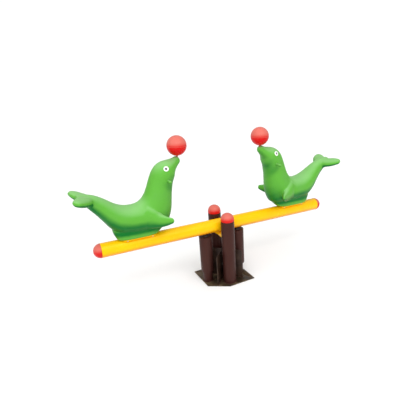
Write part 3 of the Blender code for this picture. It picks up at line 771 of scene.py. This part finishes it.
base_paths = []                   # where the welds of the base will run
for name in POSTS:
    low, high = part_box(f"post_{name}")
    stand = Matrix.Translation((0, (low.y + high.y) / 2, 0))
    post = turned(f"post_tube_{name}", tube_outline(TUBE, TUBE - TUBE_WALL, low.z, high.z), BROWN,
                  stand)
    settle(post, "base", "brown_paint", f"post_{name}")
    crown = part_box(f"post_cap_{name}")[1].z
    seam = high.z
    add_cap(f"post_dome_{name}", crown - TUBE - seam, stand @ Matrix.Translation((0, 0, seam)),
            "base", f"post_cap_{name}")
    base_paths.append((ring(TUBE, PLATE_TOP, stand), True))

# %% [markdown]
# ## The sprung struts
#
# Under each arm of the beam a short post stands in a wider sleeve. The sleeve slides on it over a
# compression spring, and carries a rubber buffer that the beam sits on. Post and base stay still;
# the sleeve, its guide bush and its buffer go up and down. The coil spans both. A coil is a wire
# along a path with a rule, so a tree draws it: a spiral with a circle swept along it.

# %% The coil tree
COIL_WIRE = 0.0045                # radius of the wire

coil_tree, given = new_tree("strut_coil", Coil=0.034, Wire=COIL_WIRE, Height=0.1)
spiral = add_node(coil_tree, "GeometryNodeCurveSpiral", Resolution=40, Rotations=5.0)
for label, source in (("Start Radius", "Coil"), ("End Radius", "Coil"), ("Height", "Height")):
    coil_tree.links.new(given[source], spiral.inputs[label])
wire = add_node(coil_tree, "GeometryNodeCurvePrimitiveCircle", Resolution=14)
coil_tree.links.new(given["Wire"], next(s for s in wire.inputs if s.name == "Radius" and s.enabled))
sweep = add_node(coil_tree, "GeometryNodeCurveToMesh", Curve=spiral.outputs[0],
                 Profile_Curve=wire.outputs[0], Fill_Caps=True)
end_tree(coil_tree, sweep.outputs[0], given)
print("coil tree:", len(coil_tree.nodes), "nodes")

# %% Struts
SLEEVE_TOP_WALL = 0.006
SLEEVE_EDGE = 0.0018
BUFFER_STEM = 0.008
STEM_HOLE = 0.0084
INNER_WALL = 0.0035

for name in STRUTS:
    body = f"sleeve_{name}"
    low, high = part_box(f"strut_sleeve_{name}")
    stand = Matrix.Translation(((low.x + high.x) / 2, 0, 0))
    bore, ceiling = TUBE - TUBE_WALL, high.z - SLEEVE_TOP_WALL
    outline = fillet([(TUBE, high.z), (TUBE, low.z), (bore, low.z), (bore, ceiling),
                      (STEM_HOLE, ceiling), (STEM_HOLE, high.z)], SLEEVE_EDGE)
    settle(turned(f"strut_cover_{name}", outline, BROWN, stand), body, "brown_paint",
           f"strut_sleeve_{name}")

    low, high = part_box(f"buffer_{name}")
    seat = low.z + SLEEVE_TOP_WALL
    rise, half = high.z - seat, box_size(f"buffer_{name}").y / 2
    curve_radius = (half * half + rise * rise) / (2 * rise)
    edge = math.degrees(math.acos(half / curve_radius))
    dome = arc(curve_radius, high.z - curve_radius, 90, edge, 16)
    stem = [Vector(p) for p in ((BUFFER_STEM, seat), (BUFFER_STEM, low.z), (0, low.z))]
    settle(turned(f"rubber_buffer_{name}", dome + stem, RUBBER, stand), body, "black_rubber",
           f"buffer_{name}")

    low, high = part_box(f"strut_post_{name}")
    radius = (high.y - low.y) / 2
    inner = turned(f"inner_post_{name}", tube_outline(radius, radius - INNER_WALL, low.z, high.z),
                   BROWN, stand)
    settle(inner, "base", "brown_paint", f"strut_post_{name}")
    base_paths.append((ring(radius, PLATE_TOP, stand), True))

    low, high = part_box(f"strut_spring_{name}")
    coil = grow(f"strut_coil_{name}", path_mesh("coil_seed", []), coil_tree, ZINC,
                stand @ Matrix.Translation((0, 0, low.z + COIL_WIRE)),
                Height=high.z - low.z - 2 * COIL_WIRE)
    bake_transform(coil)
    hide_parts(f"strut_spring_{name}")
    print(f"{coil.name}: {len(coil.data.polygons)} faces, from base to {body}")

# %% [markdown]
# Every post and web is welded to the plate where it stands. The paths of the posts were noted down
# when they were made; each web adds a straight run on both of its sides. All of them go through the
# weld tree at once, as one mesh.

# %% Welds of the base
for node, turn in DIAGONALS:
    low, high = in_frame(node, turn)
    for side in (-1, 1):
        row = [turn @ Vector((x, side * WEB_THICKNESS / 2, PLATE_TOP)) for x in (low.x, high.x)]
        base_paths.append((row, False))
welds = grow("base_welds", path_mesh("base_weld_paths", base_paths), weld_tree, BROWN)
settle(welds, "base", "bronze_paint")

# %% [markdown]
# ## The beam
#
# The beam is one long tube. A short cross tube is welded under its middle, with a gusset on each
# side, and turns on an axle between the posts. Two end caps close it, and a flat bracket on top
# carries each seat.

# %% Beam tube and end caps
ENDS = (("left", -1), ("right", 1))
CAP_GAP = 0.0003                  # between the tube's end and the cap's seam

low, high = in_frame("beam_tube", BEAM)
along = BEAM @ Matrix.Rotation(math.pi / 2, 4, "Y")
tube = turned("rocker_tube", tube_outline(TUBE, TUBE - TUBE_WALL, low.x, high.x), YELLOW, along,
              128)
# The lower side of the beam gets painted shade, a darker orange.
store(tube.data, mark_plastic(tube.data, painted_shade=(0.05, 0.85)))
settle(tube, "beam", "yellow_paint", "beam_tube")
for name, side in ENDS:
    seam = high.x + CAP_GAP
    place = (BEAM @ Matrix.Translation((side * seam, 0, 0))
             @ Matrix.Rotation(side * math.pi / 2, 4, "Y"))
    add_cap(f"rocker_end_{name}", 0.0, place, "beam", f"beam_cap_{name}")

# %% [markdown]
# The cross tube and its gussets carry the whole beam, and are welded to it before it is painted, so
# they wear the same yellow. A gusset could be a plain triangle, but a real one is cut to fit round
# the tube: its outline follows the tube from below, and ends in a snipped corner. The brackets are
# flat plates with round corners.

# %% Cross tube, gussets and brackets
CROSS_WALL = 0.005
GUSSET_THICKNESS = 0.008
GUSSET_CLEAR = 0.0006             # between the gusset and the cross tube, filled by the weld
GUSSET_SNIP = 0.006
BRACKET_CORNER = 0.014

low, high = in_frame("pivot_tube", BEAM)
CROSS_RADIUS = (high.x - low.x) / 2
cross_height = (high.z + low.z) / 2
cross = BEAM @ Matrix.Translation((0, 0, cross_height)) @ ON_EDGE
tube = turned("cross_tube", tube_outline(CROSS_RADIUS, CROSS_RADIUS - CROSS_WALL, low.y, high.y),
              YELLOW, cross)
settle(tube, "beam", "yellow_paint", "pivot_tube")

for name, side in ENDS:
    low, high = in_frame(f"gusset_{name}", BEAM)
    reach = max(abs(low.x), abs(high.x))
    curve = arc(CROSS_RADIUS + GUSSET_CLEAR, cross_height, -8, 80, 14)
    outline = [(side * x, z)
               for x, z in [(reach, high.z), (reach - GUSSET_SNIP, high.z - GUSSET_SNIP), *curve]]
    stand = BEAM @ Matrix.Translation((0, GUSSET_THICKNESS / 2, 0)) @ ON_EDGE
    gusset = plate(f"gusset_plate_{name}", outline, GUSSET_THICKNESS, YELLOW, stand, edge=THIN_EDGE)
    settle(gusset, "beam", "yellow_paint", f"gusset_{name}")

    low, high = in_frame(f"saddle_plate_{name}", BEAM)
    corners = [(low.x, low.y), (high.x, low.y), (high.x, high.y), (low.x, high.y)]
    bracket = plate(f"seat_bracket_{name}", fillet(corners, BRACKET_CORNER, 5, spun=False),
                    high.z - low.z, YELLOW, BEAM @ Matrix.Translation((0, 0, low.z)))
    settle(bracket, "beam", "yellow_paint", f"saddle_plate_{name}")

# %% [markdown]
# Four bolts hold each seat from below. They are all alike, so a tree sets one on each point: a
# washer, a six-sided head under it, and a shank. Eight separate bolts would do as well, but a tree
# keeps them alike when a size changes.

# %% The bolt tree and the seat bolts
WASHER_THICKNESS = 0.0012

bolt_tree, given = new_tree("hex_bolt", Head=0.0095, Height=0.0055, Washer=0.0125,
                            Thickness=WASHER_THICKNESS, Shank=0.005, Length=0.028)
shapes = []
for radius, depth, sides, offset in (("Head", "Height", 6, -0.5), ("Washer", "Thickness", 32, 0.0),
                                     ("Shank", "Length", 24, 0.5)):
    form = add_node(bolt_tree, "GeometryNodeMeshCylinder", Vertices=sides)
    bolt_tree.links.new(given[radius], form.inputs["Radius"])
    bolt_tree.links.new(given[depth], form.inputs["Depth"])
    lift = bolt_tree.nodes.new("ShaderNodeMath")
    lift.operation = "MULTIPLY"
    lift.inputs[1].default_value = offset
    bolt_tree.links.new(given[depth], lift.inputs[0])
    shift = add_node(bolt_tree, "ShaderNodeCombineXYZ", Z=lift.outputs[0])
    moved = add_node(bolt_tree, "GeometryNodeTransform", Geometry=form.outputs[0],
                     Translation=shift.outputs[0])
    shapes.append(moved.outputs[0])
bolt = bolt_tree.nodes.new("GeometryNodeJoinGeometry")
for shape in shapes:
    bolt_tree.links.new(shape, bolt.inputs[0])
spots = add_node(bolt_tree, "GeometryNodeMeshToPoints", Mesh=given["Geometry"])
bolts = add_node(bolt_tree, "GeometryNodeInstanceOnPoints", Points=spots.outputs[0],
                 Instance=bolt.outputs[0])
end_tree(bolt_tree, bolts.outputs[0], given)

bolt_nodes = [f"seat_bolt_{name}_{n}" for name in SEATS for n in range(1, 5)]
bracket_under = in_frame("saddle_plate_left", BEAM)[0].z
spots = []
for node in bolt_nodes:
    low, high = in_frame(node, BEAM)
    spots.append(((low.x + high.x) / 2, (low.y + high.y) / 2, bracket_under - WASHER_THICKNESS / 2))
bolts = grow("seat_bolts", path_mesh("bolt_spots", [([spot], False) for spot in spots]), bolt_tree,
             ZINC, BEAM)
settle(bolts, "beam", "zinc_steel", *bolt_nodes)

# %% [markdown]
# The beam has short welds under its middle, where the cross tube meets it, and a long run on each
# side of the crown under both brackets. They are the same beads as on the base, in yellow.

# %% Welds of the beam
MIDDLE_WELD = (0.0035, 0.020)     # off the middle, and long
BRACKET_WELD = 0.012              # to each side of the beam's crown

beam_paths = []
for name, side in ENDS:
    for reach in (-1, 1):
        row = [Vector((side * MIDDLE_WELD[0], reach * y, -TUBE)) for y in (0.0, MIDDLE_WELD[1])]
        beam_paths.append((row, False))
    low, high = in_frame(f"saddle_plate_{name}", BEAM)
    for flank in (-1, 1):
        row = [Vector((x, flank * BRACKET_WELD, low.z)) for x in (low.x, high.x)]
        beam_paths.append((row, False))
welds = grow("beam_welds", path_mesh("beam_weld_paths", beam_paths), weld_tree, YELLOW, BEAM)
settle(welds, "beam", "yellow_paint")

# %% [markdown]
# ## The seal seats
#
# A rotomoulded seat is one hollow skin with soft shapes that run into each other: neck, flank,
# tail, flippers. The plan is to loft each form by itself, lay them all into one mesh, and let a
# voxel remesh melt them together; a few rounds of smoothing then give the fillets that a mould has.
# The body is a row of oval sections from the nose to the tail, each given by a point on the back, a
# point on the belly and half a width.

# %% Body sections
BODY = (
    # back out, up      belly out, up    half width
    (0.407, 0.646, 0.369, 0.591, 0.033),
    (0.432, 0.635, 0.390, 0.567, 0.046),
    (0.468, 0.629, 0.410, 0.535, 0.068),
    (0.514, 0.621, 0.419, 0.495, 0.086),
    (0.556, 0.599, 0.434, 0.455, 0.092),
    (0.591, 0.560, 0.441, 0.414, 0.095),
    (0.618, 0.505, 0.447, 0.366, 0.093),
    (0.640, 0.446, 0.452, 0.307, 0.100),
    (0.665, 0.389, 0.459, 0.246, 0.108),
    (0.698, 0.346, 0.478, 0.180, 0.115),
    (0.743, 0.324, 0.522, 0.117, 0.120),
    (0.799, 0.320, 0.639, 0.103, 0.121),
    (0.848, 0.330, 0.780, 0.103, 0.117),
    (0.897, 0.353, 0.879, 0.117, 0.107),
    (0.942, 0.384, 0.948, 0.166, 0.091),
    (0.987, 0.414, 0.998, 0.233, 0.074),
    (1.034, 0.439, 1.044, 0.294, 0.060),
    (1.077, 0.453, 1.087, 0.345, 0.053),
    (1.116, 0.459, 1.121, 0.388, 0.054),
    (1.143, 0.459, 1.145, 0.416, 0.046),
)


def smooth_rows(rows, steps):
    """Catmull-Rom rows between the given ones."""
    made = []
    for i in range(len(rows) - 1):
        quad = [rows[min(max(i + k, 0), len(rows) - 1)] for k in (-1, 0, 1, 2)]
        for step in range(steps):
            t = step / steps
            made.append(tuple(0.5 * (2 * b + (c - a) * t + (2 * a - 5 * b + 4 * c - d) * t * t
                                     + (3 * b - a - 3 * c + d) * t ** 3)
                              for a, b, c, d in zip(*quad)))
    return made + [tuple(rows[-1])]


def oval(centre, up, side, points=40):
    turns = (2 * math.pi * i / points for i in range(points))
    return [centre + up * math.cos(a) + side * math.sin(a) for a in turns]


def loft(bm, rings):
    """Skins equal rings of points, and closes both ends with a fan."""
    loops = [[bm.verts.new(p) for p in points] for points in rings]
    for loop, following in zip(loops, loops[1:]):
        for i, vert in enumerate(loop):
            j = (i + 1) % len(loop)
            bm.faces.new((vert, loop[j], following[j], following[i]))
    for loop in (loops[0], loops[-1]):
        tip = bm.verts.new(sum((v.co for v in loop), Vector()) / len(loop))
        for i, vert in enumerate(loop):
            bm.faces.new((vert, loop[(i + 1) % len(loop)], tip))


def round_end(centre, up, side, out, steps=5):
    """Ovals that shrink along a quarter circle, for a rounded tip."""
    turns = (math.pi / 2 * i / steps for i in range(1, steps))
    return [oval(centre + out * math.sin(a), up * math.cos(a), side * math.cos(a)) for a in turns]


def body_rings():
    rows = smooth_rows(BODY, 5)
    forms = []
    for back_x, back_z, belly_x, belly_z, half_width in rows:
        back, belly = Vector((back_x, 0, back_z)), Vector((belly_x, 0, belly_z))
        forms.append(((back + belly) / 2, (back - belly) / 2, Vector((0, half_width, 0))))
    rings = [oval(*form) for form in forms]
    nose, tail = forms[0], forms[-1]
    nose_out = (nose[0] - forms[4][0]).normalized() * nose[1].length * 0.8
    tail_out = (tail[0] - forms[-5][0]).normalized() * tail[1].length * 0.8
    return list(reversed(round_end(*nose, nose_out))) + rings + round_end(*tail, tail_out)


BODY_RINGS = body_rings()
print("body rings:", len(BODY_RINGS))

# %% [markdown]
# Under the body is a boat-shaped skirt that rests on the bracket, widest half way up, where it
# meets the belly. The flippers and the two lobes of the tail are paddles: rows of flat ovals along
# a bent line. They could be carved out of the body, but a loft for each keeps its width and
# thickness in plain numbers. Every form reaches well into the body, so that the remesh has
# something to melt.

# %% Skirt, flippers and tail lobes
SKIRT = (
    # up, front, rear, half width
    (0.0640, 0.592, 0.904, 0.063),
    (0.0665, 0.585, 0.910, 0.069),
    (0.0800, 0.569, 0.917, 0.074),
    (0.1000, 0.548, 0.926, 0.076),
    (0.1200, 0.526, 0.933, 0.077),
    (0.1450, 0.518, 0.938, 0.072),
    (0.1720, 0.545, 0.938, 0.055),
)
FLIPPER = (
    # out, across, up, half chord, half thickness
    (0.684, 0.058, 0.222, 0.100, 0.056),
    (0.644, 0.086, 0.210, 0.086, 0.052),
    (0.602, 0.117, 0.199, 0.062, 0.040),
    (0.562, 0.154, 0.198, 0.043, 0.023),
    (0.523, 0.190, 0.206, 0.026, 0.013),
)
LOBE = (
    # as for the flipper
    (1.076, 0.006, 0.400, 0.044, 0.038),
    (1.102, 0.040, 0.414, 0.053, 0.036),
    (1.129, 0.076, 0.423, 0.056, 0.033),
    (1.151, 0.108, 0.431, 0.050, 0.029),
    (1.166, 0.130, 0.436, 0.039, 0.024),
)
LOBE_SLOPE = math.radians(22)     # of the tail's flat side, up towards its tips


def boat(up, front, rear, half_width, points=72):
    """A ring with blunt round ends, a superellipse in plan."""
    def blunt(wave):
        return math.copysign(abs(wave) ** 0.7, wave)

    turns = [2 * math.pi * i / points for i in range(points)]
    middle, half_length = (front + rear) / 2, (rear - front) / 2
    return [Vector((middle + half_length * blunt(math.cos(a)), half_width * blunt(math.sin(a)), up))
            for a in turns]


def paddle(bm, rows, across, flat):
    """A flat blade along rows of places; flat(along) gives the direction of its chord."""
    forms = []
    rows = smooth_rows(rows, 5)
    places = [Vector((x, across * y, z)) for x, y, z, _, _ in rows]
    for i, row in enumerate(rows):
        along = (places[min(i + 1, len(rows) - 1)] - places[max(i - 1, 0)]).normalized()
        chord = flat(along).normalized()
        forms.append((places[i], chord * row[3], along.cross(chord).normalized() * row[4], along))
    rings = [oval(centre, up, side) for centre, up, side, _ in forms]
    centre, up, side, along = forms[-1]
    loft(bm, rings + round_end(centre, up, side, along * up.length * 0.75))


def upright(along):
    return Vector((0, 0, 1)) - along * along.z


def in_tail(along):
    return Vector((-math.sin(LOBE_SLOPE), 0, math.cos(LOBE_SLOPE))).cross(along)


bm = bmesh.new()
loft(bm, BODY_RINGS)
loft(bm, [boat(*row) for row in smooth_rows(SKIRT, 3)])
for across in (-1, 1):
    paddle(bm, FLIPPER, across, upright)
    paddle(bm, LOBE, across, in_tail)
seal_form = finish_mesh(bm, "seal_form", GREEN)
print("seal form:", len(seal_form.data.polygons), "faces before the remesh")

# %% [markdown]
# The forms cross each other, and a boolean union would leave hard seams. The voxel remesh makes one
# closed skin of them, and the smoothing turns each seam into a soft fillet, as in a mould. The
# plastic's attributes come last: the dark green of painted shade also fills the crease between
# belly and skirt, under the belly's overhang, and stays off the skirt's foot and, mostly, off the chin.

# %% Melt the forms into one skin
VOXEL = 0.004
SMOOTH_ROUNDS = 30
# The crease's dark green is painted shade under the belly's overhang; the painted shade beneath fades out at the
# foot and partly on the head.
CREASE_IN, CREASE_OUT = (0.086, 0.112), (0.128, 0.158)   # heights where the crease starts and ends
CREASE_MIDDLE, CREASE_ENDS = 0.740, (0.19, 0.25)         # and its place along the seat
FOOT_FADE = (0.080, 0.100)                               # heights over which the foot gets deep
CHIN_FADE, CHIN_SHARE = (0.44, 0.52), 0.6                # and the share that the head loses

melt = seal_form.modifiers.new("melt", "REMESH")
melt.mode = "VOXEL"
melt.voxel_size = VOXEL
soften = seal_form.modifiers.new("soften", "SMOOTH")
soften.factor = 0.5
soften.iterations = SMOOTH_ROUNDS
depsgraph = bpy.context.evaluated_depsgraph_get()
skin = bpy.data.meshes.new_from_object(seal_form.evaluated_get(depsgraph))
bpy.data.objects.remove(seal_form)
skin.materials.clear()
skin.materials.append(GREEN)
skin.shade_smooth()
# Painted light on the tops and painted shade on the lower faces of the seal.
values = mark_plastic(skin, painted_shade=(-0.10, 0.42), painted_light=(0.30, 0.92), shown=0.85,
                      groove=0.00006)
places = np.array([v.co for v in skin.vertices])
out, heights = places[:, 0], places[:, 2]
# Painted shade in the crease under the belly.
crease = soft_step(heights, *CREASE_IN) * (1 - soft_step(heights, *CREASE_OUT))
crease *= 1 - soft_step(np.abs(out - CREASE_MIDDLE), *CREASE_ENDS)
values["painted_shade"] *= soft_step(heights, *FOOT_FADE)
values["painted_shade"] *= 1 - CHIN_SHARE * soft_step(heights, *CHIN_FADE)
values["painted_shade"] = np.maximum(values["painted_shade"], crease)
store(skin, values)
print("seal skin:", len(skin.polygons), "faces")

# %% [markdown]
# Both seats come out of the same mould, so the skin is copied, and one matrix turns each copy into
# place. The matrix goes into the mesh and not into the object, because a pattern on Object
# coordinates would turn with the object.

# %% Set a seat at each end
for name in SEATS:
    seat_mesh = skin.copy()
    seat_mesh.transform(SEAT[name])
    seat_mesh.name = f"seal_seat_{name}"
    seal = bpy.data.objects.new(seat_mesh.name, seat_mesh)
    bpy.context.scene.collection.objects.link(seal)
    settle(seal, "beam", "green_plastic", f"seal_body_{name}")

# %% [markdown]
# ### Eyes, grips and balls
#
# An eye is a white dished disc with a dark button in the middle. Both are turned about the eye's
# own axis, from outlines of (radius, height) that start on it. A painted ring would be flat, and
# the raised rim is what catches the light.

# %% Eyes
EYE_FACING = Vector((0.30, 0.87, 0.38))
EYE_RADIUS = 0.0202
BUTTON_RADIUS = 0.0112
EYE_DEPTH = 0.0100
EYE_LIFT = 0.0065                 # the disc stands this much further out than its solid

eye_outline = [Vector(p) for p in (
    (0, 0.0008), (0.006, 0.0008), (BUTTON_RADIUS, 0.0012), (0.0135, 0.0030), (0.0160, 0.0034),
    (0.0184, 0.0022), (EYE_RADIUS - 0.0006, -0.0006), (EYE_RADIUS, -0.0022),
    (EYE_RADIUS, -EYE_DEPTH), (0, -EYE_DEPTH))]
button_outline = arc(0.0122, -0.0062, 90, 24, 8) + [Vector((BUTTON_RADIUS - 0.0001, 0)),
                                                    Vector((0, 0))]

for name in SEATS:
    for side_name, side in (("near", -1), ("far", 1)):
        white = f"eye_white_{name}_{side_name}"
        facing = Vector((EYE_FACING.x, side * EYE_FACING.y, EYE_FACING.z)).normalized()
        low, high = in_frame(white, SEAT[name])
        turn = Vector((0, 0, 1)).rotation_difference(facing).to_matrix().to_4x4()
        middle = (low + high) / 2 + facing * EYE_LIFT
        place = SEAT[name] @ Matrix.Translation(middle) @ turn
        disc = turned(f"eye_disc_{name}_{side_name}", eye_outline, EYE_WHITE, place, 48)
        settle(disc, "beam", "eye_white", white)
        button = turned(f"eye_button_{name}_{side_name}", button_outline, EYE_GREY, place, 32)
        settle(button, "beam", "eye_grey", f"pupil_{name}_{side_name}")

# %% [markdown]
# The grip is one bar through the neck, with a short rounded stub on each side for a hand. Only half
# of its outline is written down, from the end inwards, and the other half is its mirror.

# %% Grips
for name in SEATS:
    low, high = in_frame(f"grip_bar_{name}", SEAT[name])
    half, radius = (high.y - low.y) / 2, (high.z - low.z) / 2
    stub = [(0.0, half), (radius * 0.55, half - 0.0008), (radius * 0.9, half - 0.0045),
            (radius, half - 0.0095), (radius * 0.93, half - 0.020), (radius * 0.9, half - 0.032)]
    outline = [Vector(p) for p in stub] + [Vector((r, -h)) for r, h in reversed(stub)]
    middle = (low + high) / 2
    place = SEAT[name] @ Matrix.Translation(middle) @ ON_EDGE
    grip = turned(f"hand_grip_{name}", outline, GREEN, place, 48)
    # Painted light on top of the grip and painted shade beneath.
    store(grip.data, mark_plastic(grip.data, painted_shade=(0.1, 0.8), painted_light=(0.2, 0.95),
                                  shown=0.6))
    settle(grip, "beam", "green_plastic", f"grip_bar_{name}")

# %% [markdown]
# The ball is a thin hollow sphere on a pin in the seal's nose, with a fine groove where its two
# halves meet. A stock sphere has no wall, mouth or groove, so it is turned like the tubes: down the
# outside, in at the mouth round the pin, and back up the inside.

# %% Balls
BALL_WALL = 0.004
PIN_MOUTH = 0.0063                # radius of the mouth
SEAM_DEPTH = 0.0007
SEAM_HALF = 0.7                   # degrees

for name in SEATS:
    low, high = in_frame(f"ball_{name}", SEAT[name])
    radius = (high.y - low.y) / 2
    mouth = math.degrees(math.acos(PIN_MOUTH / radius))
    upper = arc(radius, 0, 90, SEAM_HALF, 40)
    lower = arc(radius, 0, -SEAM_HALF, -mouth, 40)
    inner = radius - BALL_WALL
    hollow = arc(inner, 0, -math.degrees(math.acos(PIN_MOUTH / inner)), 90, 30)
    outline = upper + [Vector((radius - SEAM_DEPTH, 0.0))] + lower + hollow
    place = SEAT[name] @ Matrix.Translation(Vector(((low.x + high.x) / 2, 0, high.z - radius)))
    ball = turned(f"balance_ball_{name}", outline, RED, place)
    # Painted reflection of the sky on the upper half, painted shade on the lower half.
    store(ball.data, mark_plastic(ball.data, painted_shade=(-0.05, 0.4), painted_light=(-0.12, 0.45),
                                  shown=0.95))
    settle(ball, "beam", "red_plastic", f"ball_{name}")
